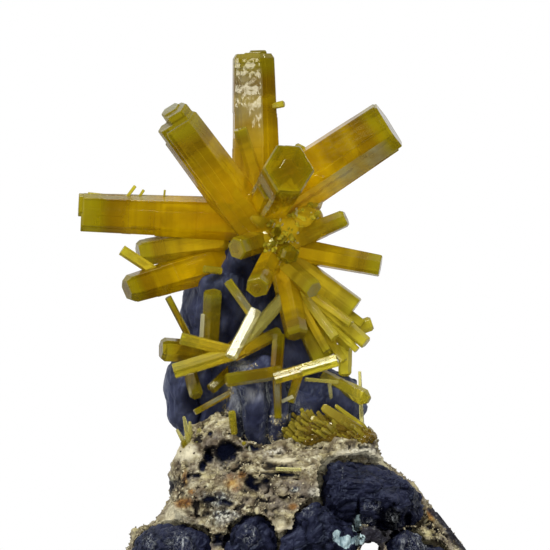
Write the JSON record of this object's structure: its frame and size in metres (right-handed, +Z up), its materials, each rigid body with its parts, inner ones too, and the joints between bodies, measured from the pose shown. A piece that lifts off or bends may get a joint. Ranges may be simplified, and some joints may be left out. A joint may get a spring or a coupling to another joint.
{
  "type": "pyromorphite specimen",
  "caption": "Mineral specimen: a burst of yellow-green hexagonal pyromorphite prisms on a black botryoidal column that grows from a pale earthy matrix cut flat to stand.",
  "frame": {"origin": "on the flat cut base, under the middle of the matrix", "axes": "+Z up the column, -Y towards the side that shows the crystals best, +X to that side's right"},
  "size_m": [0.0398, 0.0257, 0.052],
  "materials": {
    "pyromorphite": "vitreous, translucent, amber with olive tips",
    "manganese_oxide": "satin blue-black, botryoidal",
    "earthy_crust": "matt, grainy, with rust stains"
  },
  "bodies": {
    "root": {"crystal_burst": "pyromorphite", "crossed_prisms_left": "pyromorphite", "long_prisms_front": "pyromorphite", "prism_behind_left_pair": "pyromorphite", "stub_prism_left": "pyromorphite", "thin_blade_left": "pyromorphite", "short_prism_left": "pyromorphite", "short_prism_middle": "pyromorphite", "thin_blade_middle": "pyromorphite", "spear_right": "pyromorphite", "needle_right": "pyromorphite", "crystal_tuft_left": "pyromorphite", "crystal_crust_right": "pyromorphite", "black_column": "manganese_oxide", "black_boulder_right": "manganese_oxide", "black_nodule_left": "manganese_oxide", "black_nodule_middle": "manganese_oxide", "black_nodule_under": "manganese_oxide", "black_nodule_right": "manganese_oxide", "black_nodule_back": "manganese_oxide", "black_nodule_side": "manganese_oxide", "matrix": "earthy_crust"}
  },
  "joints": []
}
